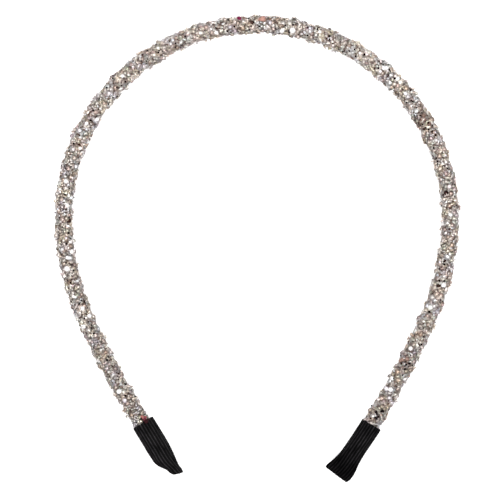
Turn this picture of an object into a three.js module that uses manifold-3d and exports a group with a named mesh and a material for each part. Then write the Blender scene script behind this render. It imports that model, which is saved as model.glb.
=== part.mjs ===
// A slim sequin hair band lying on its side. A round band, covered all over in glitter and set with flat
// six-sided sequins, is bent to an open arch. A ribbed knit sleeve is pushed over each end and pressed flat.
// Millimetres, +Z up. The arch lies in XY, its crown towards +Y and its two ends towards -Y, on a floor at Z 0.
import * as THREE from "three";
import { mergeVertices } from "three/addons/utils/BufferGeometryUtils.js";
import Module from "manifold-3d";

const wasm = await Module();
wasm.setup();

// Driving dimensions
const HEIGHT = 140.1; // crown's outside to the ends
const COVER_RADIUS = 2.45; // the glitter cover, before its sequins
const SEQUIN_PROUD = 0.25; // top of a sequin above the cover
const SEQUIN_RADIUS = 0.95; // to a corner
const SEQUIN_DEPTH = 0.5; // sunk well into the cover
const SEQUIN_PITCH = 3.2; // along the arch, from one sequin to the next
const SEQUIN_TURN = Math.PI * (3 - Math.sqrt(5)); // round the band, so that no two line up
const MOUTH_AT = 158; // along the arch from the crown to a sleeve's mouth
const GAP = 0.3; // between pieces that touch
const BORE_RADIUS = 1.9; // inside of a sleeve
const BORE_DEPTH = 9.5;
const RIBS = 22; // round a sleeve
const RIB_POINTS = 3; // one in the furrow and two along the rib's crest
const RIB_DEPTH = 0.16;
const DENT_POWER = 6; // how narrow a sleeve's dent is
const COVER_SIDES = 16;
const BORE_SIDES = 16;
const COVER_STEP = 5; // between rings along the cover

const BAND_RADIUS = COVER_RADIUS + SEQUIN_PROUD;
const TAIL_RADIUS = BORE_RADIUS - GAP; // the trimmed end of the band inside a sleeve
const TAIL_LENGTH = BORE_DEPTH - GAP;
const SEQUIN_HALF = SEQUIN_RADIUS * Math.sin(Math.PI / 3); // to a flat side, round the band
const AXIS_HEIGHT = Math.hypot(BAND_RADIUS, SEQUIN_HALF); // the lowest edge of a sequin meets the floor
const APEX = new THREE.Vector3(0, HEIGHT / 2 - BAND_RADIUS, AXIS_HEIGHT);

// The arch's centreline as tangent arcs from the crown down each side: radius, and degrees turned on that side.
const ARCH = [
  { stretch: "crown", radius: 58, left: 95, right: 95 },
  { stretch: "temple", radius: 80, left: 20, right: 19.3 },
  { stretch: "leg", radius: 250, left: 16, right: 16 },
];

// Sections of each sleeve from its mouth to its pressed end. across and tall are half sizes in the arch's plane
// and upwards, drift and lift move the section's middle outwards and upwards, fullness is 2 for an ellipse and
// more for a slot with round ends, skew slants the section by so much along for each millimetre across, and dent
// is how far the middle of its top sinks in.
const RIGHT_SLEEVE = [
  { along: 0.0, across: 3.25, tall: 3.1, drift: 0.22, lift: 0.0, fullness: 2.0, skew: 0, dent: 0 },
  { along: 5.0, across: 3.2, tall: 3.1, drift: 0.22, lift: 0.0, fullness: 2.0, skew: 0, dent: 0 },
  { along: 10.0, across: 3.22, tall: 3.0, drift: 0.24, lift: 0.0, fullness: 2.1, skew: 0, dent: 0.1 },
  { along: 12.5, across: 3.4, tall: 2.5, drift: 0.35, lift: 0.0, fullness: 2.3, skew: 0, dent: 0.35 },
  { along: 14.5, across: 3.78, tall: 1.7, drift: 0.42, lift: -0.1, fullness: 2.6, skew: 0, dent: 0.45 },
  { along: 16.2, across: 4.06, tall: 1.05, drift: 0.34, lift: -0.2, fullness: 3.0, skew: 0, dent: 0.2 },
  { along: 17.8, across: 4.15, tall: 0.9, drift: 0.08, lift: -0.2, fullness: 3.2, skew: 0, dent: 0.05 },
  { along: 18.6, across: 3.9, tall: 0.65, drift: 0.0, lift: -0.2, fullness: 3.2, skew: 0, dent: 0 },
];
const LEFT_SLEEVE = [
  { along: 0.0, across: 3.48, tall: 3.1, drift: -0.2, lift: 0.0, fullness: 2.0, skew: 0, dent: 0 },
  { along: 5.0, across: 3.5, tall: 3.1, drift: -0.03, lift: 0.0, fullness: 2.0, skew: 0, dent: 0 },
  { along: 10.0, across: 3.45, tall: 3.1, drift: 0.25, lift: 0.1, fullness: 2.0, skew: 0, dent: 0 },
  { along: 12.5, across: 3.22, tall: 3.3, drift: 0.43, lift: 0.45, fullness: 2.1, skew: -0.05, dent: 0 },
  { along: 14.5, across: 2.6, tall: 3.6, drift: 0.3, lift: 0.78, fullness: 2.3, skew: -0.15, dent: 0 },
  { along: 16.2, across: 1.9, tall: 3.85, drift: -0.05, lift: 1.03, fullness: 2.6, skew: -0.25, dent: 0 },
  { along: 17.8, across: 1.7, tall: 3.95, drift: -0.2, lift: 1.13, fullness: 3.0, skew: -0.4, dent: 0 },
  { along: 18.4, across: 1.42, tall: 3.65, drift: -0.3, lift: 1.13, fullness: 3.0, skew: -0.45, dent: 0 },
];

const UP = new THREE.Vector3(0, 0, 1);

// The place on the arch's centreline at a distance from the crown, right side positive, with the direction
// out of the arch there and the direction of growing distance.
function archAt(distance) {
  const side = distance < 0 ? "left" : "right";
  const mirror = distance < 0 ? -1 : 1;
  const place = new THREE.Vector2(0, 0);
  let heading = 0;
  let remaining = Math.abs(distance);
  for (const arc of ARCH) {
    const turned = Math.min(remaining / arc.radius, THREE.MathUtils.degToRad(arc[side]));
    place.x += arc.radius * (Math.sin(heading + turned) - Math.sin(heading));
    place.y += arc.radius * (Math.cos(heading + turned) - Math.cos(heading));
    heading += turned;
    remaining -= arc.radius * turned;
  }
  const out = new THREE.Vector3(mirror * Math.sin(heading), Math.cos(heading), 0);
  const onward = new THREE.Vector3(Math.cos(heading), -mirror * Math.sin(heading), 0);
  return { place: new THREE.Vector3(mirror * place.x, place.y, 0).add(APEX), out, onward };
}

// A circle of points round the centreline.
function roundRing(distance, radius, sides) {
  const { place, out } = archAt(distance);
  return Array.from({ length: sides }, (_, i) => {
    const angle = (2 * Math.PI * i) / sides;
    return place
      .clone()
      .addScaledVector(out, radius * Math.cos(angle))
      .addScaledVector(UP, radius * Math.sin(angle));
  });
}

// A closed solid through rings of equal count, listed in order of growing distance along the arch.
function loft(rings) {
  const count = rings[0].length;
  const points = rings.flat();
  const triangles = [];
  for (let r = 0; r + 1 < rings.length; r++) {
    for (let i = 0; i < count; i++) {
      const next = (i + 1) % count;
      const [a, b] = [r * count + i, r * count + next];
      const [c, d] = [a + count, b + count];
      triangles.push(a, b, c, b, d, c);
    }
  }
  const last = (rings.length - 1) * count;
  const startMiddle = points.push(middleOf(rings[0])) - 1;
  const endMiddle = points.push(middleOf(rings.at(-1))) - 1;
  for (let i = 0; i < count; i++) {
    const next = (i + 1) % count;
    triangles.push(startMiddle, next, i, endMiddle, last + i, last + next);
  }
  return new THREE.BufferGeometry().setFromPoints(points).setIndex(triangles);
}

function middleOf(ring) {
  return ring.reduce((sum, p) => sum.add(p), new THREE.Vector3()).divideScalar(ring.length);
}

function toSolid(geometry) {
  const bare = new THREE.BufferGeometry();
  bare.setAttribute("position", geometry.getAttribute("position"));
  bare.setIndex(geometry.index);
  const merged = mergeVertices(bare);
  return new wasm.Manifold(
    new wasm.Mesh({
      numProp: 3,
      vertProperties: new Float32Array(merged.attributes.position.array),
      triVerts: new Uint32Array(merged.index.array),
    }),
  );
}

function toGeometry(solid) {
  const mesh = solid.getMesh();
  const geometry = new THREE.BufferGeometry();
  geometry.setAttribute("position", new THREE.BufferAttribute(mesh.vertProperties, 3));
  geometry.setIndex(new THREE.BufferAttribute(mesh.triVerts, 1));
  geometry.computeVertexNormals();
  return geometry;
}

// The covered band from one mouth to the other, with a thinner trimmed tail that runs on into each sleeve.
function coverSolid() {
  const end = MOUTH_AT - GAP;
  const steps = Math.round((2 * end) / COVER_STEP);
  const rings = [];
  for (let i = 0; i <= steps; i++) {
    rings.push(roundRing(-end + (2 * end * i) / steps, COVER_RADIUS, COVER_SIDES));
  }
  const tail = (distance) => roundRing(distance, TAIL_RADIUS, COVER_SIDES);
  const tailEnd = MOUTH_AT + TAIL_LENGTH;
  return toSolid(loft([tail(-tailEnd), tail(-end), ...rings, tail(end), tail(tailEnd)]));
}

// One flat six-sided sequin, bedded in the cover and facing straight out of it.
function sequinSolid(distance, turn) {
  const { place, out, onward } = archAt(distance);
  const facing = out.clone().multiplyScalar(Math.cos(turn)).addScaledVector(UP, Math.sin(turn));
  const plate = new THREE.CylinderGeometry(SEQUIN_RADIUS, SEQUIN_RADIUS, SEQUIN_DEPTH, 6);
  const sideways = new THREE.Vector3().crossVectors(facing, onward);
  const seat = new THREE.Matrix4().makeBasis(sideways, facing, onward);
  seat.setPosition(place.clone().addScaledVector(facing, BAND_RADIUS - SEQUIN_DEPTH / 2));
  return toSolid(plate.applyMatrix4(seat));
}

function sequinBand() {
  const furthest = MOUTH_AT - GAP - 2 * SEQUIN_RADIUS;
  const count = Math.floor((2 * furthest) / SEQUIN_PITCH) + 1;
  let band = coverSolid();
  for (let i = 0; i < count; i++) {
    const distance = (i - (count - 1) / 2) * SEQUIN_PITCH;
    band = band.add(sequinSolid(distance, i * SEQUIN_TURN));
  }
  return toGeometry(band);
}

const bent = (value, power) => Math.sign(value) * Math.abs(value) ** power;

// One ribbed ring of a sleeve, pressed flat where it would reach below the floor.
function sleeveRing(distance, row) {
  const { place, out, onward } = archAt(distance);
  const count = RIBS * RIB_POINTS;
  return Array.from({ length: count }, (_, i) => {
    const angle = (2 * Math.PI * i) / count;
    const sunk = i % RIB_POINTS ? 0 : RIB_DEPTH;
    const across = row.drift + bent(Math.cos(angle), 2 / row.fullness) * (row.across - sunk);
    const rise = row.lift + bent(Math.sin(angle), 2 / row.fullness) * (row.tall - sunk);
    const dented = rise - row.dent * Math.max(Math.sin(angle), 0) ** DENT_POWER;
    const point = place.clone().addScaledVector(out, across).addScaledVector(UP, dented);
    point.addScaledVector(onward, Math.sign(distance) * row.skew * across);
    point.z = Math.max(point.z, 0);
    return point;
  });
}

function sleeve(rows, side) {
  const rings = rows.map((row) => sleeveRing(side * (MOUTH_AT + row.along), row));
  const bore = [-1, BORE_DEPTH].map((along) => roundRing(side * (MOUTH_AT + along), BORE_RADIUS, BORE_SIDES));
  if (side < 0) {
    rings.reverse();
    bore.reverse();
  }
  return toGeometry(toSolid(loft(rings)).subtract(toSolid(loft(bore))));
}

const glitter = new THREE.MeshStandardMaterial({ color: 0xa89e97, metalness: 0.6, roughness: 0.35 });
const ribKnit = new THREE.MeshStandardMaterial({ color: 0x151414, metalness: 0, roughness: 0.95 });

function piece(name, geometry, material) {
  const mesh = new THREE.Mesh(geometry, material);
  mesh.name = name;
  return mesh;
}

const headband = new THREE.Group();
headband.add(
  piece("sequin_band", sequinBand(), glitter),
  piece("sleeve_left", sleeve(LEFT_SLEEVE, -1), ribKnit),
  piece("sleeve_right", sleeve(RIGHT_SLEEVE, 1), ribKnit),
);

export default headband;
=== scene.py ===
import math

import bpy
import numpy as np
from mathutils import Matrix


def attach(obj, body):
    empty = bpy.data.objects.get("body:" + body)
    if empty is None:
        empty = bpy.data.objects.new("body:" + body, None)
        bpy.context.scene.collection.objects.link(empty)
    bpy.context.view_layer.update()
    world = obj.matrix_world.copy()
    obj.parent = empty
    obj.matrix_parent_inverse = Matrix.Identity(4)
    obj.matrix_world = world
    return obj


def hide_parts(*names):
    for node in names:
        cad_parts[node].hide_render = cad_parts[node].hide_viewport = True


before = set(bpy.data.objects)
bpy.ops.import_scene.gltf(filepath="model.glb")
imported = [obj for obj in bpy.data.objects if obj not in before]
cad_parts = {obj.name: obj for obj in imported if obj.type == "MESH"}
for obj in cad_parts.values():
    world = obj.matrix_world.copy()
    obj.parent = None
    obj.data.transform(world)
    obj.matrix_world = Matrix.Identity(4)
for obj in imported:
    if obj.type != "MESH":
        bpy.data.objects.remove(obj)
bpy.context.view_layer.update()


# The bent arch. A springy core, hidden all along, is bent to a crown, a temple and a straighter leg on each
# side. Every piece of the band follows its middle line, which is a chain of arcs that run smoothly together.
MM = 0.001  # sizes here are in millimetres, and Blender's unit is the metre
HEIGHT = 140.1  # crown's outside to the ends
SEQUIN_TOP = 2.70  # the middle line to a sequin's face
SEQUIN_CORNER = 0.95  # a sequin's middle to its corner
AXIS_HEIGHT = math.hypot(SEQUIN_TOP, SEQUIN_CORNER * math.sin(math.pi / 3))
APEX = np.array([0.0, HEIGHT / 2 - SEQUIN_TOP, AXIS_HEIGHT])
MOUTH_AT = 158.0  # along the arch from the crown to a sleeve's mouth
UP = np.array([0.0, 0.0, 1.0])
# The crown, the temple and the leg: radius, and degrees turned on each side.
ARCS = [
    {"radius": 58.0, "left": 95.0, "right": 95.0},
    {"radius": 80.0, "left": 20.0, "right": 19.3},
    {"radius": 250.0, "left": 16.0, "right": 16.0},
]


def arch_at(distance):
    """Places on the middle line at distances from the crown, right positive, with the ways out and onward."""
    distance = np.atleast_1d(np.asarray(distance, float))
    mirror = np.where(distance < 0, -1.0, 1.0)
    remaining = np.abs(distance)
    heading = np.zeros_like(remaining)
    x, y = np.zeros_like(remaining), np.zeros_like(remaining)
    for arc in ARCS:
        sweep = np.radians(np.where(mirror < 0, arc["left"], arc["right"]))
        turned = np.minimum(remaining / arc["radius"], sweep)
        x += arc["radius"] * (np.sin(heading + turned) - np.sin(heading))
        y += arc["radius"] * (np.cos(heading + turned) - np.cos(heading))
        heading += turned
        remaining -= arc["radius"] * turned
    zero = np.zeros_like(x)
    place = np.stack([mirror * x, y, zero], axis=1) + APEX
    out = np.stack([mirror * np.sin(heading), np.cos(heading), zero], axis=1)
    onward = np.stack([np.cos(heading), -mirror * np.sin(heading), zero], axis=1)
    return place, out, onward


# The glue coat. The core is wrapped and rolled in glue and fine glitter dust, which closes the ground under
# the flakes. It is one round tube from sleeve to sleeve, and runs on a little way into each of them.
COAT_RADIUS = 1.8
COAT_SIDES = 32
COAT_END = MOUTH_AT + 7.0
COAT_STEP = 2.0  # degrees of bend from ring to ring
COAT_LEAST_STEPS = 4
COAT_SMOOTH = math.radians(40)
WELD = 0.001
GRAIN = 0.25
GRAIN_RELIEF = 0.1


def linear(hex_colour):
    """A linear colour from an sRGB hex value."""
    parts = [int(hex_colour[i:i + 2], 16) / 255 for i in (1, 3, 5)]
    return tuple(p / 12.92 if p <= 0.04045 else ((p + 0.055) / 1.055) ** 2.4 for p in parts) + (1.0,)


def add_node(tree, kind, settings=None, inputs=None):
    """A new node with its settings and inputs. An input that is another node's output becomes a link."""
    made = tree.nodes.new(kind)
    for name, value in (settings or {}).items():
        setattr(made, name, value)
    for name, value in (inputs or {}).items():
        if isinstance(value, bpy.types.NodeSocket):
            tree.links.new(value, made.inputs[name])
        else:
            made.inputs[name].default_value = value
    return made


def new_material(name):
    """An empty material, and its node tree."""
    material = bpy.data.materials.new(name)
    material.use_nodes = True
    material.node_tree.nodes.clear()
    return material, material.node_tree


def finish_material(tree, shader):
    """Joins a shader to the material's output."""
    add_node(tree, "ShaderNodeOutputMaterial", {}, {"Surface": shader.outputs["BSDF"]})


# Glitter dust in clear glue: fine grains, each catching the light its own way, so the ground between the
# flakes reads as a grey sparkle and not as a flat coat.
dust, tree = new_material("glitter_dust_in_glue")
coords = add_node(tree, "ShaderNodeTexCoord")
grains = add_node(tree, "ShaderNodeTexVoronoi", {"feature": "F1"}, {
    "Vector": coords.outputs["Object"], "Scale": 1 / (GRAIN * MM), "Randomness": 1.0})
grain_tone = add_node(tree, "ShaderNodeSeparateColor", {}, {"Color": grains.outputs["Color"]})
tone = add_node(tree, "ShaderNodeValToRGB", {}, {"Fac": grain_tone.outputs["Red"]})
tone.color_ramp.elements[0].color = linear("#4c3a33")
tone.color_ramp.elements[1].color = linear("#b9a89d")
relief = add_node(tree, "ShaderNodeBump", {}, {
    "Height": grain_tone.outputs["Green"], "Strength": 0.7, "Distance": GRAIN_RELIEF * MM})
shader = add_node(tree, "ShaderNodeBsdfPrincipled", {}, {
    "Base Color": tone.outputs["Color"], "Metallic": 0.6, "Roughness": 0.4,
    "Normal": relief.outputs["Normal"]})
finish_material(tree, shader)


def arc_chain():
    """The coat's arcs from its left end to its right end: middle, and angle turned."""
    chain = []
    for side, mirror in (("left", -1.0), ("right", 1.0)):
        heading, walked, arcs = 0.0, 0.0, []
        radius = ARCS[0]["radius"]
        middle = APEX - np.array([0.0, radius, 0.0])
        for arc in ARCS:
            way = np.array([mirror * math.sin(heading), math.cos(heading), 0.0])
            middle = middle + (radius - arc["radius"]) * way
            radius = arc["radius"]
            sweep = min(math.radians(arc[side]), (COAT_END - walked) / radius)
            arcs.append((middle, sweep))
            heading += sweep
            walked += radius * sweep
        chain += arcs[::-1] if side == "left" else arcs
    return chain


def deselect_everything():
    """Leaves nothing selected, so that an operator acts on the new piece alone."""
    for o in bpy.context.selected_objects:
        o.select_set(False)


def start_piece(name):
    """Names the primitive that was just added."""
    piece = bpy.context.active_object
    piece.name = name
    piece.data.name = name
    return piece


deselect_everything()
left_end, left_out, left_onward = (v[0] for v in arch_at(-COAT_END))
bpy.ops.mesh.primitive_circle_add(vertices=COAT_SIDES, radius=COAT_RADIUS * MM, fill_type="NGON")
coat = start_piece("glue_coat")
turn_in = np.stack([left_out, UP, left_onward], axis=1)
ring = np.array([v.co for v in coat.data.vertices]) / MM
coat.data.vertices.foreach_set("co", ((ring @ turn_in.T + left_end) * MM).ravel())
coat.data.update()
bpy.ops.object.mode_set(mode="EDIT")
bpy.ops.mesh.select_all(action="SELECT")
for middle, sweep in arc_chain():
    steps = max(COAT_LEAST_STEPS, round(math.degrees(sweep) / COAT_STEP))
    bpy.ops.mesh.spin(steps=steps, dupli=False, angle=sweep, center=tuple(middle * MM), axis=(0, 0, 1))
bpy.ops.mesh.select_all(action="SELECT")
bpy.ops.mesh.remove_doubles(threshold=WELD * MM)
bpy.ops.mesh.normals_make_consistent(inside=False)
bpy.ops.object.mode_set(mode="OBJECT")
bpy.ops.object.shade_smooth_by_angle(angle=COAT_SMOOTH)
coat.data.materials.append(dust)
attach(coat, "root")


# The small flakes. Six-sided cut film, strewn on the wet glue so thickly that they lie over each other like
# scales, most of them nearly flat and some standing on edge. They make the band's rough outline.
FLAKE_END = MOUTH_AT + 0.5
FLAKE_BED = 2.05  # the middle line to the bed of glue that flakes lie in
MOUTH_BED = 2.25  # the same at a sleeve's mouth
MOUTH_STRETCH = 4.0  # along which the one bed runs over into the other
FLOOR_CLEAR = 0.07  # under a flake's lowest edge
LEAN_LIFT = 0.75  # of its size, by which a flake that stands on edge is lifted
MOST_LEAN = math.radians(80)
SMALL_COUNT = 14000
SMALL_SEED = 11
SMALL_JITTER = 0.5
SMALL_SIZE = (0.28, 0.52)
SMALL_RISE = (0.05, 0.29)
SMALL_LEAN = math.radians(15)
LYING_LEAN = math.radians(60)  # the most for a lying flake, before some stretches are pressed
STANDING_SHARE = 0.05
STANDING_SIZE = (0.35, 0.62)
STANDING_LEAN = (math.radians(40), math.radians(80))
SMALL_SUNK = 0.14
SMALL_UNEVEN = 0.15

# Four fields over the band are sums of waves, each with its length along the band, its crests round it and
# its start. They raise lumps in the bed, press some stretches flat, and shift the tints to warm and to olive,
# by a share of red, green, blue and alpha.
LUMP_RISE = 0.28
LUMPS = [
    {"every": 9.7, "round": 1, "start": 0.4},
    {"every": 5.9, "round": -2, "start": 1.9},
    {"every": 4.1, "round": 3, "start": 4.1},
    {"every": 2.7, "round": -4, "start": 2.6},
]
PRESS = 0.6
MOST_ROUGH = 2.0
PRESSED = [
    {"every": 9.1, "round": 1, "start": 2.2},
    {"every": 6.3, "round": -2, "start": 4.6},
    {"every": 5.1, "round": 2, "start": 0.7},
]
WARM_DRIFT = np.array([0.04, 0.0, -0.065, 0.0])
WARM_PATCHES = [
    {"every": 13.1, "round": -1, "start": 5.2},
    {"every": 7.3, "round": 2, "start": 0.9},
    {"every": 4.3, "round": -3, "start": 3.3},
]
OLIVE_DRIFT = np.array([0.0, 0.03, 0.0, 0.0])
OLIVE_PATCHES = [
    {"every": 10.3, "round": 1, "start": 1.1},
    {"every": 6.1, "round": -2, "start": 3.8},
    {"every": 3.7, "round": 3, "start": 0.3},
]


def waves(table, distance, turn):
    """A smooth field over the band, about as often above zero as below, from the waves of a table."""
    along = 2 * math.pi * distance
    sines = [np.sin(along / row["every"] + row["round"] * turn + row["start"]) for row in table]
    return sum(sines) / math.sqrt(len(table))


# Steps of one over the plastic ratio, and over its square, spread points evenly over a sheet without rows.
PLASTIC_RATIO = 1.324717957244746


def strewn(count, seed, jitter):
    """Even but unordered places over the band: distance along it, and turn round it."""
    random = np.random.default_rng(seed)
    i = np.arange(count)
    stray = jitter / math.sqrt(count)
    along = (0.5 + i * (1 / PLASTIC_RATIO) + random.normal(0, stray, count)) % 1.0
    turn = (0.5 + i * (1 / PLASTIC_RATIO ** 2) + random.normal(0, stray, count)) % 1.0
    return (2 * along - 1) * FLAKE_END, 2 * math.pi * turn


def seated(distance, turn, rise, size, lean, lean_way):
    """Middles and facings of leaning flakes over their bed, one edge in the glue and none in the floor."""
    rough = np.clip(1 + PRESS * waves(PRESSED, distance, turn), 0, MOST_ROUGH)
    lean = np.clip(lean * rough, 0, MOST_LEAN)
    place, out, onward = arch_at(distance)
    outward = out * np.cos(turn)[:, None] + UP * np.sin(turn)[:, None]
    sideways = np.cross(outward, onward)
    leaning = onward * np.cos(lean_way)[:, None] + sideways * np.sin(lean_way)[:, None]
    facing = outward * np.cos(lean)[:, None] + leaning * np.sin(lean)[:, None]
    open_band = np.clip((MOUTH_AT - np.abs(distance)) / MOUTH_STRETCH, 0, 1)
    lump = LUMP_RISE * open_band * waves(LUMPS, distance, turn)
    bed = MOUTH_BED + (FLAKE_BED - MOUTH_BED) * open_band + lump
    radius = bed + rise + LEAN_LIFT * size * np.sin(lean)
    middle = place + outward * radius[:, None]
    dip = size * np.sqrt(np.clip(1 - facing[:, 2] ** 2, 0, 1))
    short = np.clip(FLOOR_CLEAR - (middle[:, 2] - dip), 0, None)
    return middle + UP * short[:, None], facing


CORNERS = 6
FLAKE_POINTS = CORNERS + 2  # the corners, the crown of the face, and the point under it
FLAKE_CUP = 0.06  # of its size, by which a face's crown stands over its rim
CELL_REACH = 0.42  # of a bake map's cell, from its middle to the flake's rim
NEARLY_LEVEL = 0.9  # a facing's rise past which it points almost straight up or down
RIGHTWARD = np.array([1.0, 0.0, 0.0])


def give_cells(mesh, count, loops):
    """A bake map with a cell for each flake, so that no flake's tint runs into another's."""
    cells = math.ceil(math.sqrt(count))
    cell = np.stack([np.arange(count) % cells, np.arange(count) // cells], axis=1) + 0.5
    angle = np.arange(CORNERS) * (2 * math.pi / CORNERS)
    rim = np.stack([np.cos(angle), np.sin(angle)], axis=1) * CELL_REACH
    spots = np.concatenate([rim, np.zeros((FLAKE_POINTS - CORNERS, 2))])
    uv = (cell[:, None, :] + spots[None, :, :]).reshape(-1, 2) / cells
    mesh.uv_layers.new(name="OFBake").data.foreach_set("uv", uv[loops].ravel())


def flake_mesh(name, middle, facing, size, spin, sunk, tint, uneven, seed):
    """Six-sided flakes in one mesh: a faintly cupped face each, and a point under it sunk in the glue."""
    random = np.random.default_rng(seed)
    count = len(middle)
    square_to = np.where(np.abs(facing[:, 2:3]) < NEARLY_LEVEL, UP, RIGHTWARD)
    side = np.cross(facing, square_to)
    side /= np.linalg.norm(side, axis=1, keepdims=True)
    other = np.cross(facing, side)
    angle = spin[:, None] + np.arange(CORNERS)[None, :] * (2 * math.pi / CORNERS)
    reach = size[:, None] * (1 + random.uniform(-uneven, uneven, (count, CORNERS)))
    corners = (middle[:, None, :]
               + (reach * np.cos(angle))[..., None] * side[:, None, :]
               + (reach * np.sin(angle))[..., None] * other[:, None, :])
    crown = middle + facing * (size * FLAKE_CUP)[:, None]
    under = middle - facing * sunk
    points = np.concatenate([corners, crown[:, None, :], under[:, None, :]], axis=1).reshape(-1, 3)
    first = np.arange(count) * FLAKE_POINTS
    face = [[first + CORNERS, first + k, first + (k + 1) % CORNERS] for k in range(CORNERS)]
    skirt = [[first + (k + 1) % CORNERS, first + k, first + CORNERS + 1] for k in range(CORNERS)]
    loops = np.array(face + skirt).transpose(2, 0, 1).ravel()
    mesh = bpy.data.meshes.new(name)
    mesh.vertices.add(len(points))
    mesh.vertices.foreach_set("co", (points * MM).ravel())
    mesh.loops.add(len(loops))
    mesh.loops.foreach_set("vertex_index", loops)
    mesh.polygons.add(len(loops) // 3)
    mesh.polygons.foreach_set("loop_start", np.arange(0, len(loops), 3))
    mesh.update(calc_edges=True)
    mesh.validate()
    colours = mesh.attributes.new("tint", "FLOAT_COLOR", "POINT")
    colours.data.foreach_set("color", np.repeat(tint, FLAKE_POINTS, axis=0).ravel())
    give_cells(mesh, count, loops)
    piece = bpy.data.objects.new(name, mesh)
    bpy.context.scene.collection.objects.link(piece)
    return piece


def glued_flakes(name, random, distance, turn, size, lean, rise, sunk, tint, uneven, seed, upturn=0.0):
    """A piece of flakes that lean and are turned at random, and tip towards straight up by an upturn."""
    lean_way = random.uniform(0, 2 * math.pi, len(size))
    middle, facing = seated(distance, turn, rise, size, lean, lean_way)
    tipped = facing + upturn * UP
    tipped /= np.linalg.norm(tipped, axis=1, keepdims=True)
    spin = random.uniform(0, 2 * math.pi, len(size))
    return flake_mesh(name, middle, tipped, size, spin, sunk, tint, uneven, seed)


# The flakes are brightest at the crown and duller towards the ends.
CROWN_BRIGHT = 1.08
END_DULL = 0.2
FLAKE_TONES = (0.86, 1.06)
GLITTER_MIX = [
    {"colour": "#e3dcd5", "share": 38},
    {"colour": "#dbd1c8", "share": 28},
    {"colour": "#c4b6ab", "share": 13},
    {"colour": "#cdbcbc", "share": 6},
    {"colour": "#c2bfae", "share": 5},
    {"colour": "#4a3732", "share": 2},
    {"colour": "#f8f6f3", "share": 8},
]


def mixed_tints(distance, turn, mix, seed):
    """One colour a flake, by the shares of a mix, in warm and olive patches, and duller towards the ends."""
    random = np.random.default_rng(seed)
    count = len(distance)
    palette = np.array([linear(row["colour"]) for row in mix])
    share = np.array([row["share"] for row in mix], float)
    picked = random.choice(len(mix), size=count, p=share / share.sum())
    tint = palette[picked].copy()
    tint[:, :3] *= random.uniform(*FLAKE_TONES, (count, 1))
    tint[:, :3] *= CROWN_BRIGHT - END_DULL * (distance[:, None] / MOUTH_AT) ** 2
    tint *= 1 + WARM_DRIFT * waves(WARM_PATCHES, distance, turn)[:, None]
    tint *= 1 + OLIVE_DRIFT * waves(OLIVE_PATCHES, distance, turn)[:, None]
    return np.clip(tint, 0, 1)


def tinted_film(name, finish):
    """A film with a finish of its own, in each flake's tint."""
    material, tree = new_material(name)
    tint = add_node(tree, "ShaderNodeAttribute", {"attribute_name": "tint", "attribute_type": "GEOMETRY"})
    shader = add_node(tree, "ShaderNodeBsdfPrincipled", {}, {"Base Color": tint.outputs["Color"], **finish})
    finish_material(tree, shader)
    return material


# Metallised polyester film, cut to flakes: a bright, slightly dull mirror, so that each flake shows one
# patch of the studio. The mix of silver, champagne, rose and smoke comes from the flakes' own tint.
film = tinted_film("metallised_polyester_film", {"Metallic": 1.0, "Roughness": 0.277})

random = np.random.default_rng(SMALL_SEED)
distance, turn = strewn(SMALL_COUNT, SMALL_SEED + 1, SMALL_JITTER)
size = random.uniform(*SMALL_SIZE, SMALL_COUNT)
lean = np.clip(np.abs(random.normal(0, SMALL_LEAN, SMALL_COUNT)), 0, LYING_LEAN)
standing = random.random(SMALL_COUNT) < STANDING_SHARE
lean[standing] = random.uniform(*STANDING_LEAN, standing.sum())
size[standing] = random.uniform(*STANDING_SIZE, standing.sum())
rise = random.uniform(*SMALL_RISE, SMALL_COUNT)
tint = mixed_tints(distance, turn, GLITTER_MIX, SMALL_SEED + 2)
small = glued_flakes("small_flakes", random, distance, turn, size, lean, rise,
                     sunk=SMALL_SUNK, tint=tint, uneven=SMALL_UNEVEN, seed=SMALL_SEED + 3)
small.data.materials.append(film)
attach(small, "root")
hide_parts("sequin_band")


# The large flakes. The same film cut coarser, fewer of them. They are strewn after the small ones, so they
# lie on top of those and lean more.
LARGE_COUNT = 2000
LARGE_SEED = 21
LARGE_JITTER = 0.8
LARGE_SIZE = (0.5, 0.75)
LARGE_RISE = (0.20, 0.34)
LARGE_LEAN = math.radians(26)
LARGE_SUNK = 0.2
LARGE_UNEVEN = 0.12
random = np.random.default_rng(LARGE_SEED)
distance, turn = strewn(LARGE_COUNT, LARGE_SEED + 1, LARGE_JITTER)
size = random.uniform(*LARGE_SIZE, LARGE_COUNT)
lean = np.clip(np.abs(random.normal(0, LARGE_LEAN, LARGE_COUNT)), 0, LYING_LEAN)
rise = random.uniform(*LARGE_RISE, LARGE_COUNT)
tint = mixed_tints(distance, turn, GLITTER_MIX, LARGE_SEED + 2)
large = glued_flakes("large_flakes", random, distance, turn, size, lean, rise,
                     sunk=LARGE_SUNK, tint=tint, uneven=LARGE_UNEVEN, seed=LARGE_SEED + 3)
large.data.materials.append(film)
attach(large, "root")


# The sequins. Six-sided plates of the same film, larger than the flakes, pressed into the glue over those and
# set round the band so that no two line up. They are the bright discs that catch a lamp whole.
SEQUIN_SEED = 31
SEQUIN_PITCH = 0.45  # along the arch from one to the next
SEQUIN_TURN = math.pi * (3 - math.sqrt(5))  # round the band from one to the next
SEQUIN_GAP = 0.3  # to the sleeve's mouth
SEQUIN_SIZE = (0.6, 0.98)
SEQUIN_RISE = (0.36, 0.46)
SEQUIN_LEAN = math.radians(9)
SEQUIN_SUNK = 0.35
SEQUIN_UNEVEN = 0.03
SEQUIN_MIX = [
    {"colour": "#ebe7e2", "share": 24},
    {"colour": "#b3a195", "share": 38},
    {"colour": "#b8a69e", "share": 25},
    {"colour": "#aaa296", "share": 13},
]
furthest = MOUTH_AT - SEQUIN_GAP - 2 * SEQUIN_CORNER
sequin_count = math.floor(2 * furthest / SEQUIN_PITCH) + 1
number = np.arange(sequin_count)
distance = (number - (sequin_count - 1) / 2) * SEQUIN_PITCH
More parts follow.
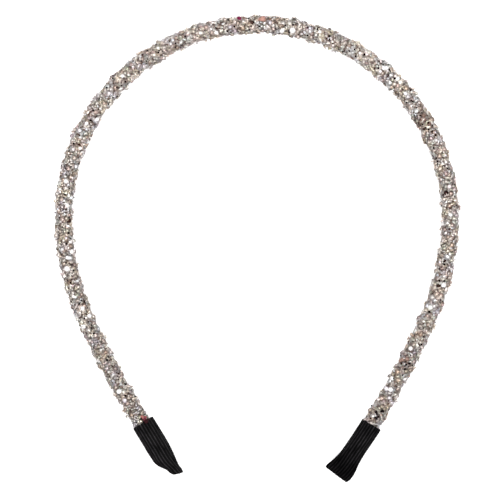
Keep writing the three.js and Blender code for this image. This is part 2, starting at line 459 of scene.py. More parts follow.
turn = number * SEQUIN_TURN
random = np.random.default_rng(SEQUIN_SEED)
size = random.uniform(*SEQUIN_SIZE, sequin_count)
lean = np.abs(random.normal(0, SEQUIN_LEAN, sequin_count))
rise = random.uniform(*SEQUIN_RISE, sequin_count)
tint = mixed_tints(distance, turn, SEQUIN_MIX, SEQUIN_SEED + 1)
sequins = glued_flakes("sequins", random, distance, turn, size, lean, rise,
                       sunk=SEQUIN_SUNK, tint=tint, uneven=SEQUIN_UNEVEN, seed=SEQUIN_SEED + 2)
sequins.data.materials.append(film)
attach(sequins, "root")


# The painted highlights. A few plates in the mix are near-white film, which stays bright whichever way it
# lies: white discs painted in as the lamps' glints. They are glued on like the rest, many small and a few
# large, and none close to a sleeve.
PAINTED_HIGHLIGHT_COUNT = 225
PAINTED_HIGHLIGHT_SEED = 41
PAINTED_HIGHLIGHT_JITTER = 4.0
PAINTED_HIGHLIGHT_REACH = 0.965  # of the band's length
PAINTED_HIGHLIGHT_LEAST = 0.26
PAINTED_HIGHLIGHT_MOST = 0.92
PAINTED_HIGHLIGHT_FEW_LARGE = 1.3  # more makes large ones rarer
PAINTED_HIGHLIGHT_RISE = (0.48, 0.60)
PAINTED_HIGHLIGHT_LEAN = math.radians(14)
PAINTED_HIGHLIGHT_SUNK = 0.35
PAINTED_HIGHLIGHT_UNEVEN = 0.14
PAINTED_HIGHLIGHT_MIX = [
    {"colour": "#f6f3f0", "share": 70},
    {"colour": "#f2e9ea", "share": 30},
]

# Near-white film, a painted highlight: a pale coat with a soft gloss, bright without a lamp in it.
painted_highlight_film = tinted_film("white_painted_highlight_film", {"Metallic": 0.25, "Roughness": 0.22})

random = np.random.default_rng(PAINTED_HIGHLIGHT_SEED)
distance, turn = strewn(PAINTED_HIGHLIGHT_COUNT, PAINTED_HIGHLIGHT_SEED + 1, PAINTED_HIGHLIGHT_JITTER)
size = PAINTED_HIGHLIGHT_LEAST + (PAINTED_HIGHLIGHT_MOST - PAINTED_HIGHLIGHT_LEAST) * random.random(PAINTED_HIGHLIGHT_COUNT) ** PAINTED_HIGHLIGHT_FEW_LARGE
lean = np.abs(random.normal(0, PAINTED_HIGHLIGHT_LEAN, PAINTED_HIGHLIGHT_COUNT))
rise = random.uniform(*PAINTED_HIGHLIGHT_RISE, PAINTED_HIGHLIGHT_COUNT)
tint = mixed_tints(distance, turn, PAINTED_HIGHLIGHT_MIX, PAINTED_HIGHLIGHT_SEED + 2)
# These white plates are painted highlights.
painted_highlights = glued_flakes("painted_highlight_sequins", random, distance * PAINTED_HIGHLIGHT_REACH, turn, size, lean, rise,
                      sunk=PAINTED_HIGHLIGHT_SUNK, tint=tint, uneven=PAINTED_HIGHLIGHT_UNEVEN, seed=PAINTED_HIGHLIGHT_SEED + 3)
painted_highlights.data.materials.append(painted_highlight_film)
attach(painted_highlights, "root")


# The great painted highlights. Larger plates of the same near-white film, a few here and there along the
# band, each a white disc painted in as a lamp's glint. They sit high in the glue and tip up out of it. Each
# has its distance from the crown, right positive, and its offset outwards across the band.
GREAT_SEED = 46
GREAT_RISE = 0.70
GREAT_SUNK = 0.5
GREAT_UNEVEN = 0.12
GREAT_HIGHLIGHT_COLOUR = "#f8f6f4"
UPTURN = 0.9
SLIGHT_LEAN = (2, 8)  # degrees
GREAT_PAINTED_HIGHLIGHTS = [
    {"distance": -146.4, "offset": 0.84, "size": 0.78},
    {"distance": -124.3, "offset": 1.60, "size": 0.78},
    {"distance": -122.0, "offset": -1.58, "size": 0.78},
    {"distance": -119.2, "offset": -0.42, "size": 0.78},
    {"distance": -106.5, "offset": 0.56, "size": 0.85},
    {"distance": -103.3, "offset": -0.15, "size": 0.60},
    {"distance": -80.3, "offset": 0.15, "size": 0.72},
    {"distance": -69.6, "offset": -1.15, "size": 0.62},
    {"distance": -62.0, "offset": 0.20, "size": 0.62},
    {"distance": -59.2, "offset": -1.65, "size": 0.68},
    {"distance": -44.2, "offset": 0.40, "size": 0.60},
    {"distance": 7.5, "offset": -1.39, "size": 0.90},
    {"distance": 10.7, "offset": -0.92, "size": 1.05},
    {"distance": 18.7, "offset": 0.70, "size": 0.60},
    {"distance": 41.2, "offset": 1.20, "size": 0.70},
    {"distance": 111.1, "offset": 0.97, "size": 0.90},
    {"distance": 132.4, "offset": -0.95, "size": 0.72},
    {"distance": 143.0, "offset": -1.80, "size": 0.70},
    {"distance": 146.1, "offset": -0.42, "size": 0.79},
]


def columns(rows, *names):
    """Columns of a table as arrays."""
    return [np.array([row[name] for row in rows]) for name in names]


random = np.random.default_rng(GREAT_SEED)
distance, offset, size = columns(GREAT_PAINTED_HIGHLIGHTS, "distance", "offset", "size")
turn = np.arccos(offset / SEQUIN_TOP)
lean = np.radians(random.uniform(*SLIGHT_LEAN, len(size)))
tint = np.tile(linear(GREAT_HIGHLIGHT_COLOUR), (len(size), 1))
# Each of these plates is a painted highlight.
great_painted_highlight_piece = glued_flakes("great_painted_highlights", random, distance, turn, size, lean, GREAT_RISE, sunk=GREAT_SUNK,
                     tint=tint, uneven=GREAT_UNEVEN, seed=GREAT_SEED + 1, upturn=UPTURN)
great_painted_highlight_piece.data.materials.append(painted_highlight_film)
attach(great_painted_highlight_piece, "root")


# The smoke flakes. The smallest cut of the film, in brown-black, strewn over all the rest. They dot the
# silver with dark specks.
SMOKE_COUNT = 720
SMOKE_SEED = 51
SMOKE_JITTER = 5.0
SMOKE_REACH = 0.99  # of the band's length
SMOKE_SIZE = (0.20, 0.38)
SMOKE_RISE = (0.50, 0.60)
SMOKE_LEAN = math.radians(16)
SMOKE_SUNK = 0.2
SMOKE_UNEVEN = 0.12
SMOKE_MIX = [
    {"colour": "#140b0b", "share": 65},
    {"colour": "#2c1c19", "share": 15},
    {"colour": "#0c0607", "share": 20},
]
random = np.random.default_rng(SMOKE_SEED)
distance, turn = strewn(SMOKE_COUNT, SMOKE_SEED + 1, SMOKE_JITTER)
size = random.uniform(*SMOKE_SIZE, SMOKE_COUNT)
lean = np.abs(random.normal(0, SMOKE_LEAN, SMOKE_COUNT))
rise = random.uniform(*SMOKE_RISE, SMOKE_COUNT)
tint = mixed_tints(distance, turn, SMOKE_MIX, SMOKE_SEED + 2)
smoke = glued_flakes("smoke_flakes", random, distance * SMOKE_REACH, turn, size, lean, rise,
                     sunk=SMOKE_SUNK, tint=tint, uneven=SMOKE_UNEVEN, seed=SMOKE_SEED + 3)
smoke.data.materials.append(film)
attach(smoke, "root")


# The coloured flakes. A few strays of pink, coral, brown and wine-red film lie at the crown and at the left
# sleeve's mouth, and brown and near-black ones down the right side. The magenta, pink, rose, red, wine and
# coral ones are painted reflections, coloured glints given as flat colour; the brown and near-black ones are
# dyed. All are coloured all through, so they look alike from any side.
STRAY_SEED = 61
STRAY_SUNK = 0.3
STRAY_UNEVEN = 0.14
# Magenta, pink, rose, red, wine, dark wine and coral are painted reflections; fawn, umber, the browns and
# black are dyes.
DYES_AND_PAINTED_REFLECTIONS = {
    "magenta": "#6b183c",
    "pink": "#9a5570",
    "rose": "#a46864",
    "red": "#8a464c",
    "wine": "#64303a",
    "dark wine": "#26060c",
    "coral": "#a88074",
    "fawn": "#8c746a",
    "umber": "#746056",
    "dark brown": "#2a1812",
    "black": "#150c09",
}
STRAYS = [
    {"dye_and_painted_reflection": "magenta", "distance": -5.35, "offset": 2.18, "size": 0.62, "rise": 1.00},
    {"dye_and_painted_reflection": "pink", "distance": -5.15, "offset": 1.90, "size": 0.50, "rise": 0.80},
    {"dye_and_painted_reflection": "umber", "distance": -4.00, "offset": 2.15, "size": 0.42, "rise": 0.72},
    {"dye_and_painted_reflection": "coral", "distance": 1.45, "offset": 1.40, "size": 0.98, "rise": 0.68},
    {"dye_and_painted_reflection": "coral", "distance": 0.80, "offset": 1.25, "size": 0.62, "rise": 0.62},
    {"dye_and_painted_reflection": "fawn", "distance": 2.20, "offset": 1.20, "size": 0.55, "rise": 0.62},
    {"dye_and_painted_reflection": "umber", "distance": 3.75, "offset": 1.50, "size": 0.62, "rise": 0.60},
    {"dye_and_painted_reflection": "rose", "distance": -156.55, "offset": -0.95, "size": 0.62, "rise": 0.56},
    {"dye_and_painted_reflection": "red", "distance": -157.10, "offset": -1.60, "size": 0.52, "rise": 0.58},
    {"dye_and_painted_reflection": "wine", "distance": -157.50, "offset": -1.25, "size": 0.60, "rise": 0.66},
    {"dye_and_painted_reflection": "dark wine", "distance": -158.25, "offset": -1.30, "size": 0.66, "rise": 1.02},
    {"dye_and_painted_reflection": "dark wine", "distance": -158.10, "offset": -2.00, "size": 0.50, "rise": 0.98},
    {"dye_and_painted_reflection": "umber", "distance": 59.00, "offset": 0.50, "size": 0.62, "rise": 0.66},
    {"dye_and_painted_reflection": "fawn", "distance": 60.00, "offset": 0.10, "size": 0.70, "rise": 0.70},
    {"dye_and_painted_reflection": "fawn", "distance": 59.60, "offset": -0.75, "size": 0.56, "rise": 0.66},
    {"dye_and_painted_reflection": "umber", "distance": 62.00, "offset": 0.60, "size": 0.66, "rise": 0.66},
    {"dye_and_painted_reflection": "dark brown", "distance": 58.40, "offset": -0.35, "size": 0.32, "rise": 0.74},
    {"dye_and_painted_reflection": "black", "distance": 59.45, "offset": -1.05, "size": 0.40, "rise": 0.74},
    {"dye_and_painted_reflection": "dark brown", "distance": 64.35, "offset": 0.45, "size": 0.38, "rise": 0.62},
    {"dye_and_painted_reflection": "dark brown", "distance": 65.80, "offset": 0.80, "size": 0.38, "rise": 0.62},
    {"dye_and_painted_reflection": "black", "distance": 130.45, "offset": 0.65, "size": 0.50, "rise": 0.64},
    {"dye_and_painted_reflection": "fawn", "distance": 135.75, "offset": -0.55, "size": 0.68, "rise": 0.66},
    {"dye_and_painted_reflection": "fawn", "distance": 136.45, "offset": -1.65, "size": 0.68, "rise": 0.66},
    {"dye_and_painted_reflection": "fawn", "distance": 137.10, "offset": -2.15, "size": 0.66, "rise": 0.66},
    {"dye_and_painted_reflection": "black", "distance": 136.55, "offset": 0.65, "size": 0.44, "rise": 0.64},
    {"dye_and_painted_reflection": "dark brown", "distance": 136.90, "offset": -0.50, "size": 0.34, "rise": 0.74},
    {"dye_and_painted_reflection": "dark brown", "distance": 137.80, "offset": -1.35, "size": 0.38, "rise": 0.74},
    {"dye_and_painted_reflection": "black", "distance": 137.70, "offset": 1.00, "size": 0.34, "rise": 0.62},
    {"dye_and_painted_reflection": "black", "distance": 137.90, "offset": -0.10, "size": 0.28, "rise": 0.62},
    {"dye_and_painted_reflection": "black", "distance": 138.70, "offset": 0.25, "size": 0.36, "rise": 0.64},
    {"dye_and_painted_reflection": "black", "distance": 152.85, "offset": 0.70, "size": 0.52, "rise": 0.62},
    {"dye_and_painted_reflection": "black", "distance": 154.15, "offset": -0.69, "size": 0.46, "rise": 0.60},
    {"dye_and_painted_reflection": "black", "distance": 155.35, "offset": 0.18, "size": 0.44, "rise": 0.60},
]

# Dyed polyester film, which also carries the painted reflections: its colour goes all through and its face is
# dull, so it shows no lamp.
dyed_and_painted_reflection_film = tinted_film("dyed_film_with_painted_reflections", {"Roughness": 0.5, "Specular IOR Level": 0.1})

random = np.random.default_rng(STRAY_SEED)
distance, offset, size, rise = columns(STRAYS, "distance", "offset", "size", "rise")
turn = np.arccos(offset / (FLAKE_BED + rise))
lean = np.radians(random.uniform(*SLIGHT_LEAN, len(size)))
tint = np.array([linear(DYES_AND_PAINTED_REFLECTIONS[row["dye_and_painted_reflection"]]) for row in STRAYS])
strays = glued_flakes("coloured_flakes", random, distance, turn, size, lean, rise, sunk=STRAY_SUNK,
                      tint=tint, uneven=STRAY_UNEVEN, seed=STRAY_SEED + 1, upturn=UPTURN)
strays.data.materials.append(dyed_and_painted_reflection_film)
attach(strays, "root")


# The knit sleeves. A tube of black ribbed elastic knit is pushed over each end and its far end is pressed
# flat and bonded. It is turned in at the mouth, where it grips the band, and rests a little flattened.
RIBS = 22
RIB_POINTS = 10
RIB_DEPTH = 0.2
RING_POINTS = RIBS * RIB_POINTS
OUTLINE_POINTS = 1441  # of a section, before its ribs are spread round it
DENT_POWER = 6  # how narrow a dent is
POCKET_RADIUS = 2.7
POCKET_DEPTH = 7.5
POCKET_RINGS = 6
LIP = 0.22
LIP_ROLL = (200, 235, 270, 305, 340)  # degrees round the lip, from the inside to the outside
OUTER_RINGS = 72
SLEEVE_SMOOTH = math.radians(50)
# Sections from the mouth to the pressed end. across and tall are half sizes in the arch's plane and upwards,
# drift and lift move the section outwards and upwards, fullness is 2 for an ellipse and more for a slot with
# round ends, skew slants the section along for each millimetre across, and dent sinks the middle of its top.
RIGHT_SLEEVE = [
    dict(along=0.0, across=3.25, tall=3.1, drift=0.22, lift=0.0, fullness=2.0, skew=0.0, dent=0.0),
    dict(along=5.0, across=3.2, tall=3.1, drift=0.22, lift=0.0, fullness=2.0, skew=0.0, dent=0.0),
    dict(along=10.0, across=3.22, tall=3.0, drift=0.24, lift=0.0, fullness=2.1, skew=0.0, dent=0.1),
    dict(along=12.5, across=3.4, tall=2.5, drift=0.35, lift=0.0, fullness=2.3, skew=0.0, dent=0.35),
    dict(along=14.5, across=3.78, tall=1.7, drift=0.42, lift=-0.1, fullness=2.6, skew=0.0, dent=0.45),
    dict(along=16.2, across=4.06, tall=1.05, drift=0.34, lift=-0.2, fullness=3.0, skew=0.0, dent=0.2),
    dict(along=17.8, across=4.15, tall=0.9, drift=0.08, lift=-0.2, fullness=3.2, skew=0.0, dent=0.05),
    dict(along=18.6, across=3.95, tall=0.65, drift=-0.1, lift=-0.2, fullness=3.2, skew=0.0, dent=0.0),
]
LEFT_SLEEVE = [
    dict(along=0.0, across=3.48, tall=3.1, drift=-0.2, lift=0.0, fullness=2.0, skew=0.0, dent=0.0),
    dict(along=5.0, across=3.5, tall=3.1, drift=-0.03, lift=0.0, fullness=2.0, skew=0.0, dent=0.0),
    dict(along=10.0, across=3.45, tall=3.1, drift=0.25, lift=0.1, fullness=2.0, skew=0.0, dent=0.0),
    dict(along=12.5, across=3.22, tall=3.3, drift=0.43, lift=0.45, fullness=2.1, skew=-0.05, dent=0.0),
    dict(along=14.5, across=2.6, tall=3.6, drift=0.3, lift=0.78, fullness=2.3, skew=-0.15, dent=0.0),
    dict(along=16.2, across=1.9, tall=3.85, drift=-0.05, lift=1.03, fullness=2.6, skew=-0.25, dent=0.0),
    dict(along=17.8, across=1.7, tall=3.95, drift=-0.2, lift=1.13, fullness=3.0, skew=-0.4, dent=0.0),
    dict(along=18.4, across=1.42, tall=3.65, drift=-0.3, lift=1.13, fullness=3.0, skew=-0.45, dent=0.0),
]


def eased(rows, column, along):
    """A column of a section table at a place along the sleeve, on a smooth curve through its rows."""
    x, y = columns(rows, "along", column)
    slope = np.gradient(y, x)
    k = int(np.clip(np.searchsorted(x, along) - 1, 0, len(x) - 2))
    h = x[k + 1] - x[k]
    t = np.clip((along - x[k]) / h, 0, 1)
    return ((1 + 2 * t) * (1 - t) ** 2 * y[k] + t * (1 - t) ** 2 * h * slope[k]
            + t * t * (3 - 2 * t) * y[k + 1] + t * t * (t - 1) * h * slope[k + 1])


def sleeve_ring(rows, side, along):
    """One ring of the outside, its ribs spread evenly round it, and pressed flat where it meets the floor."""
    value = {column: eased(rows, column, along) for column in rows[0]}
    place, out, onward = (v[0] for v in arch_at(side * (MOUTH_AT + along)))
    fine = np.linspace(0, 2 * math.pi, OUTLINE_POINTS)
    power = 2 / value["fullness"]
    across = np.sign(np.cos(fine)) * np.abs(np.cos(fine)) ** power * value["across"]
    rise = np.sign(np.sin(fine)) * np.abs(np.sin(fine)) ** power * value["tall"]
    rise -= value["dent"] * np.clip(np.sin(fine), 0, 1) ** DENT_POWER
    walked = np.concatenate([[0], np.cumsum(np.hypot(np.diff(across), np.diff(rise)))])
    at = np.arange(RING_POINTS) / RING_POINTS * walked[-1]
    outline = np.stack([np.interp(at, walked, across), np.interp(at, walked, rise)])
    way = np.roll(outline, -1, axis=1) - np.roll(outline, 1, axis=1)
    way /= np.linalg.norm(way, axis=0)
    groove = RIB_DEPTH * (1 - np.abs(np.sin(math.pi * np.arange(RING_POINTS) / RIB_POINTS)))
    across = outline[0] - groove * way[1] + value["drift"]
    rise = outline[1] + groove * way[0] + value["lift"]
    ring = place + across[:, None] * out + rise[:, None] * UP
    ring += (side * value["skew"] * across)[:, None] * onward
    ring[:, 2] = np.maximum(ring[:, 2], 0.0)
    return ring


def pocket_ring(side, along):
    """One round ring of the turned-in mouth."""
    place, out, _ = (v[0] for v in arch_at(side * (MOUTH_AT + along)))
    angle = 2 * math.pi * np.arange(RING_POINTS) / RING_POINTS
    return place + POCKET_RADIUS * (np.cos(angle)[:, None] * out + np.sin(angle)[:, None] * UP)


def sleeve_rings(rows, side):
    """Rings from the pocket over the lip to the pressed end, and how far down the outside each lies."""
    rings = [pocket_ring(side, along) for along in np.linspace(POCKET_DEPTH, LIP, POCKET_RINGS)]
    inner, outer = pocket_ring(side, 0), sleeve_ring(rows, side, 0)
    _, _, onward = (v[0] for v in arch_at(side * MOUTH_AT))
    for roll in np.radians(LIP_ROLL):
        blend = 0.5 + 0.5 * math.sin(roll + math.pi / 2)
        rings.append(inner + (outer - inner) * blend + LIP * (1 + math.sin(roll)) * side * onward)
    outside = np.linspace(LIP, rows[-1]["along"], OUTER_RINGS)
    length = np.concatenate([np.zeros(len(rings)), outside])
    rings += [sleeve_ring(rows, side, along) for along in outside]
    return np.array(rings), length


def give_rib_map(mesh, step, length):
    """A map of ribs counted round the sleeve and millimetres along it. The faces past its seam count on."""
    corner = np.zeros(len(mesh.loops), int)
    mesh.loops.foreach_get("vertex_index", corner)
    face_size = np.zeros(len(mesh.polygons), int)
    mesh.polygons.foreach_get("loop_total", face_size)
    seam_face = np.maximum.reduceat(step[corner], np.cumsum(face_size) - face_size) == RING_POINTS - 1
    past_seam = np.repeat(seam_face & (face_size == 4), face_size) & (step[corner] == 0)
    ribs = (step[corner] + RING_POINTS * past_seam) / RIB_POINTS
    rib_map = np.stack([ribs, length[corner]], axis=1)
    mesh.uv_layers.new(name="ribs").data.foreach_set("uv", rib_map.ravel())


def knit_sleeve(name, rows, side):
    """A cylinder, cut into rings that are drawn along the turned-in mouth and down to the pressed end."""
    rings, length = sleeve_rings(rows, side)
    deselect_everything()
    bpy.ops.mesh.primitive_cylinder_add(vertices=RING_POINTS, radius=1, depth=2, end_fill_type="NGON")
    piece = start_piece(name)
    bpy.ops.object.mode_set(mode="EDIT")
    bpy.ops.mesh.select_mode(type="EDGE")
    bpy.ops.mesh.select_all(action="DESELECT")
    bpy.ops.object.mode_set(mode="OBJECT")
    for edge in piece.data.edges:
        low, high = (piece.data.vertices[v].co.z for v in edge.vertices)
        edge.select = abs(low - high) > 1
    bpy.ops.object.mode_set(mode="EDIT")
    bpy.ops.mesh.subdivide(number_cuts=len(rings) - 2)
    bpy.ops.object.mode_set(mode="OBJECT")
    at = np.array([v.co for v in piece.data.vertices])
    ring_no = np.rint((at[:, 2] + 1) / 2 * (len(rings) - 1)).astype(int)
    step = np.rint(np.arctan2(at[:, 1], at[:, 0]) / (2 * math.pi) * RING_POINTS).astype(int) % RING_POINTS
    piece.data.vertices.foreach_set("co", (rings[ring_no, step] * MM).ravel())
    piece.data.update()
    give_rib_map(piece.data, step, length[ring_no])
    bpy.ops.object.mode_set(mode="EDIT")
    bpy.ops.mesh.select_all(action="SELECT")
    bpy.ops.mesh.normals_make_consistent(inside=False)
    bpy.ops.object.mode_set(mode="OBJECT")
    bpy.ops.object.shade_smooth_by_angle(angle=SLEEVE_SMOOTH)
    return piece


# Black ribbed elastic knit: dull cotton loops over rubber thread, with a painted highlight that makes each
# rib a touch lighter along its crest, where light grazes the fibres, and painted shade that leaves the
# furrows nearly black, and crossed by fine rows of stitches. Its fibres are drawn coarser than they are, so
# that they show. The right sleeve and both pressed ends are painted darker as shade, and the left sleeve
# lighter, as if lit from that side.
LOOP_ROW = 0.42
LOOP_SLANT = 0.5
LOOP_RELIEF = 0.06
FIBRE = 0.22
WEAR = 1.7  # millimetres of wear, before it is stretched along a rib
WEAR_STRETCH = (3.7, 0.45, 1.0)  # each rib apart from the next, and drawn out along it
PRESSED_FROM = 8.5  # from the mouth
PRESSED_TO = 14.0
# The furrow colour is painted shade and the crest colour a painted highlight along each rib.
FURROW_PAINTED_SHADE = "#0a0a0a"
CREST_PAINTED_HIGHLIGHT = "#282628"
# Painted shade by side and along: the left sleeve is painted lighter, as if lit from that side, the right one
# darker, and both darker still at their pressed ends.
MOUTH_PAINTED_SHADE = {"left": 1.02, "right": 0.78}
END_PAINTED_SHADE = {"left": 0.88, "right": 0.32}
BETWEEN_SLEEVES = 10.0  # either way from the middle, where neither sleeve reaches
NOISE_SPREAD = {"From Min": 0.3, "From Max": 0.7}
knit, tree = new_material("black_ribbed_elastic_knit")
rib_coords = add_node(tree, "ShaderNodeUVMap", {"uv_map": "ribs"})
rib_parts = add_node(tree, "ShaderNodeSeparateXYZ", {}, {"Vector": rib_coords.outputs["UV"]})
rib_phase = add_node(tree, "ShaderNodeMath", {"operation": "FRACT"}, {0: rib_parts.outputs["X"]})
rib_number = add_node(tree, "ShaderNodeMath", {"operation": "FLOOR"}, {0: rib_parts.outputs["X"]})
rib_place = add_node(tree, "ShaderNodeCombineXYZ", {}, {
    "X": rib_number.outputs["Value"], "Y": rib_parts.outputs["Y"]})
rib_streak = add_node(tree, "ShaderNodeVectorMath", {"operation": "MULTIPLY"}, {
    0: rib_place.outputs["Vector"], 1: WEAR_STRETCH})
rib_wear = add_node(tree, "ShaderNodeTexNoise", {}, {
    "Vector": rib_streak.outputs["Vector"], "Scale": 1 / WEAR, "Detail": 4.0, "Roughness": 0.6})
# The ribs' colour runs from painted shade in each furrow to a painted highlight on each crest.
rib_painted_shading = add_node(tree, "ShaderNodeValToRGB", {}, {"Fac": rib_phase.outputs["Value"]})
for end in rib_painted_shading.color_ramp.elements:
    end.color = linear(FURROW_PAINTED_SHADE)
for position, colour in ((0.25, FURROW_PAINTED_SHADE), (0.5, CREST_PAINTED_HIGHLIGHT), (0.75, FURROW_PAINTED_SHADE)):
    rib_painted_shading.color_ramp.elements.new(position).color = linear(colour)
rib_light = add_node(tree, "ShaderNodeMapRange", {}, {
    "Value": rib_wear.outputs["Fac"], **NOISE_SPREAD, "To Min": 0.25, "To Max": 1.9})
place = add_node(tree, "ShaderNodeTexCoord")
place_parts = add_node(tree, "ShaderNodeSeparateXYZ", {}, {"Vector": place.outputs["Object"]})
side_to_side = {
    "Value": place_parts.outputs["X"], "From Min": -BETWEEN_SLEEVES * MM, "From Max": BETWEEN_SLEEVES * MM}
# Painted shade: the sleeves' colour is scaled by side, lighter on the left and darker on the right.
mouth_painted_shade = add_node(tree, "ShaderNodeMapRange", {}, {
    **side_to_side, "To Min": MOUTH_PAINTED_SHADE["left"], "To Max": MOUTH_PAINTED_SHADE["right"]})
end_painted_shade = add_node(tree, "ShaderNodeMapRange", {}, {
    **side_to_side, "To Min": END_PAINTED_SHADE["left"], "To Max": END_PAINTED_SHADE["right"]})
# The painted shade goes from the mouth's value to the pressed end's value along the sleeve.
sleeve_painted_shade = add_node(tree, "ShaderNodeMapRange", {}, {
    "Value": rib_parts.outputs["Y"], "From Min": PRESSED_FROM, "From Max": PRESSED_TO,
    "To Min": mouth_painted_shade.outputs["Result"], "To Max": end_painted_shade.outputs["Result"]})
rib_shade = add_node(tree, "ShaderNodeMath", {"operation": "MULTIPLY"}, {
    0: rib_light.outputs["Result"], 1: sleeve_painted_shade.outputs["Result"]})
slant = add_node(tree, "ShaderNodeMath", {"operation": "PINGPONG"}, {0: rib_parts.outputs["X"], 1: 0.5})
row_place = add_node(tree, "ShaderNodeMath", {"operation": "MULTIPLY_ADD"}, {
    0: slant.outputs["Value"], 1: LOOP_SLANT, 2: rib_parts.outputs["Y"]})
row_phase = add_node(tree, "ShaderNodeMath", {"operation": "MULTIPLY"}, {
    0: row_place.outputs["Value"], 1: 2 * math.pi / LOOP_ROW})
row_wave = add_node(tree, "ShaderNodeMath", {"operation": "SINE"}, {0: row_phase.outputs["Value"]})
row_light = add_node(tree, "ShaderNodeMapRange", {}, {
    "Value": row_wave.outputs["Value"], "From Min": -1.0, "From Max": 1.0, "To Min": 0.6, "To Max": 1.4})
fibres = add_node(tree, "ShaderNodeTexNoise", {}, {
    "Vector": place.outputs["Object"], "Scale": 1 / (FIBRE * MM), "Detail": 3.0, "Roughness": 0.7})
fibre_light = add_node(tree, "ShaderNodeMapRange", {}, {
    "Value": fibres.outputs["Fac"], **NOISE_SPREAD, "To Min": 0.4, "To Max": 1.6})
loop_shade = add_node(tree, "ShaderNodeMath", {"operation": "MULTIPLY"}, {
    0: row_light.outputs["Result"], 1: fibre_light.outputs["Result"]})
knit_shade = add_node(tree, "ShaderNodeMath", {"operation": "MULTIPLY"}, {
    0: rib_shade.outputs["Value"], 1: loop_shade.outputs["Value"]})
rib_colour = add_node(tree, "ShaderNodeVectorMath", {"operation": "SCALE"}, {
    "Vector": rib_painted_shading.outputs["Color"], "Scale": knit_shade.outputs["Value"]})
loop_relief = add_node(tree, "ShaderNodeBump", {}, {
    "Height": loop_shade.outputs["Value"], "Strength": 0.6, "Distance": LOOP_RELIEF * MM})
shader = add_node(tree, "ShaderNodeBsdfPrincipled", {}, {
    "Base Color": rib_colour.outputs["Vector"], "Roughness": 0.85, "Specular IOR Level": 0.015,
    "Normal": loop_relief.outputs["Normal"]})
finish_material(tree, shader)

for name, rows, side, node in (("knit_sleeve_left", LEFT_SLEEVE, -1, "sleeve_left"),
                               ("knit_sleeve_right", RIGHT_SLEEVE, 1, "sleeve_right")):
    sleeve = knit_sleeve(name, rows, side)
    sleeve.data.materials.append(knit)
    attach(sleeve, "root")
    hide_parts(node)


# The table it lies on: one plain white sheet, wide enough for any view. It has a painted glow of its own, a
# little near the band, where it lightens the band's shadow, and more beyond the reach of the lamps, so that
# it is white up to the horizon.
TABLE_WIDTH = 40.0  # metres
LAMPLIT_TO = 0.2  # metres from the middle
LAMPLESS_FROM = 1.2
# Strengths of the painted glow near the band and beyond the lamps.
LAMPLIT_PAINTED_GLOW = 0.3
LAMPLESS_PAINTED_GLOW = 0.95
deselect_everything()
bpy.ops.mesh.primitive_plane_add(size=TABLE_WIDTH)
floor = start_piece("white_table")

# White matt paper: even and without gloss, with a painted glow that lightens the band's shadow, so that only
# a faint shadow shows where the band lies on it.
paper, tree = new_material("white_matt_paper_with_painted_glow")
table_place = add_node(tree, "ShaderNodeTexCoord")
table_reach = add_node(tree, "ShaderNodeVectorMath", {"operation": "LENGTH"}, {
    0: table_place.outputs["Object"]})
painted_glow = add_node(tree, "ShaderNodeMapRange", {}, {
    "Value": table_reach.outputs["Value"], "From Min": LAMPLIT_TO, "From Max": LAMPLESS_FROM,
    "To Min": LAMPLIT_PAINTED_GLOW, "To Max": LAMPLESS_PAINTED_GLOW})
shader = add_node(tree, "ShaderNodeBsdfPrincipled", {}, {
    "Base Color": linear("#f4f4f3"), "Roughness": 0.9,
    "Emission Color": (1.0, 1.0, 1.0, 1.0), "Emission Strength": painted_glow.outputs["Result"]})
finish_material(tree, shader)
floor.data.materials.append(paper)
floor.visible_glossy = False  # the flakes mirror the room and not this sheet


# The studio: a pale room that is brightest level with the table, and soft square lamps above it, high, middle
# and low, each one metre from its middle. The flakes mirror the lamps as white discs.
ROOM_STRENGTH = 1.6
ROOM_BELOW = (0.43, 0.42, 0.425)
ROOM_ABOVE = (0.21, 0.20, 0.205)
ROOM_BETWEEN = [
    {"height": 0.46, "light": (0.475, 0.463, 0.47)},
    {"height": 0.5, "light": (1.0, 0.98, 0.99)},
    {"height": 0.7, "light": (0.30, 0.29, 0.295)},
]
world = bpy.data.worlds.new("pale_room")
bpy.context.scene.world = world
world.use_nodes = True
tree = world.node_tree
tree.nodes.clear()
sky = add_node(tree, "ShaderNodeTexCoord")
sky_parts = add_node(tree, "ShaderNodeSeparateXYZ", {}, {"Vector": sky.outputs["Generated"]})
half_up = add_node(tree, "ShaderNodeMath", {"operation": "MULTIPLY_ADD"}, {
    0: sky_parts.outputs["Z"], 1: 0.5, 2: 0.5})
room = add_node(tree, "ShaderNodeValToRGB", {}, {"Fac": half_up.outputs["Value"]})
room.color_ramp.elements[0].color = (*ROOM_BELOW, 1.0)
room.color_ramp.elements[1].color = (*ROOM_ABOVE, 1.0)
for row in ROOM_BETWEEN:
    room.color_ramp.elements.new(row["height"]).color = (*row["light"], 1.0)
background = add_node(tree, "ShaderNodeBackground", {}, {
    "Color": room.outputs["Color"], "Strength": ROOM_STRENGTH})
add_node(tree, "ShaderNodeOutputWorld", {}, {"Surface": background.outputs["Background"]})

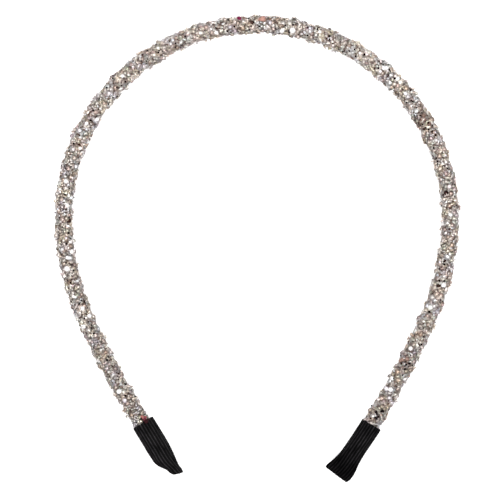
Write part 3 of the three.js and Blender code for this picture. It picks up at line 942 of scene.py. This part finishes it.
LAMP_RADIANCE = 15.5
LAMPS = [
    {"name": "lamp_top_back", "azimuth": 20, "elevation": 78, "size": 0.14},
    {"name": "lamp_top_left", "azimuth": 140, "elevation": 70, "size": 0.18},
    {"name": "lamp_top_front", "azimuth": 260, "elevation": 66, "size": 0.18},
    {"name": "lamp_middle_back", "azimuth": 60, "elevation": 52, "size": 0.22},
    {"name": "lamp_middle_left", "azimuth": 195, "elevation": 52, "size": 0.22},
    {"name": "lamp_middle_front", "azimuth": 315, "elevation": 52, "size": 0.22},
    {"name": "lamp_low_right", "azimuth": 0, "elevation": 34, "size": 0.24},
    {"name": "lamp_low_back", "azimuth": 110, "elevation": 34, "size": 0.24},
    {"name": "lamp_low_left", "azimuth": 235, "elevation": 34, "size": 0.24},
]
for row in LAMPS:
    azimuth, elevation = math.radians(row["azimuth"]), math.radians(row["elevation"])
    level = math.cos(elevation)
    lamp = bpy.data.lights.new(row["name"], "AREA")
    lamp.shape = "SQUARE"
    lamp.size = row["size"]
    lamp.energy = LAMP_RADIANCE * math.pi * row["size"] ** 2
    holder = bpy.data.objects.new(row["name"], lamp)
    holder.location = (math.cos(azimuth) * level, math.sin(azimuth) * level, math.sin(elevation))
    holder.rotation_euler = (math.pi / 2 - elevation, 0, azimuth + math.pi / 2)
    bpy.context.scene.collection.objects.link(holder)


# The camera looks straight down on the arch, as in the photograph, with 150 mm of table across the picture.
# It stands a little off the middle and is hardly rolled.
VIEW_WIDTH = 150.0
CAMERA_AT = (-2.04, -0.30, 900.0)
CAMERA_ROLL = 0.003
SENSOR_WIDTH = 36.0
CLIP_END = 100.0  # metres
camera = bpy.data.cameras.new("camera")
camera.sensor_width = SENSOR_WIDTH
camera.lens = SENSOR_WIDTH * (CAMERA_AT[2] - AXIS_HEIGHT) / VIEW_WIDTH
camera.clip_end = CLIP_END
camera_holder = bpy.data.objects.new("camera", camera)
camera_holder.location = tuple(v * MM for v in CAMERA_AT)
camera_holder.rotation_euler = (0, 0, CAMERA_ROLL)
bpy.context.scene.collection.objects.link(camera_holder)
bpy.context.scene.camera = camera_holder
bpy.context.scene.view_settings.view_transform = "Standard"
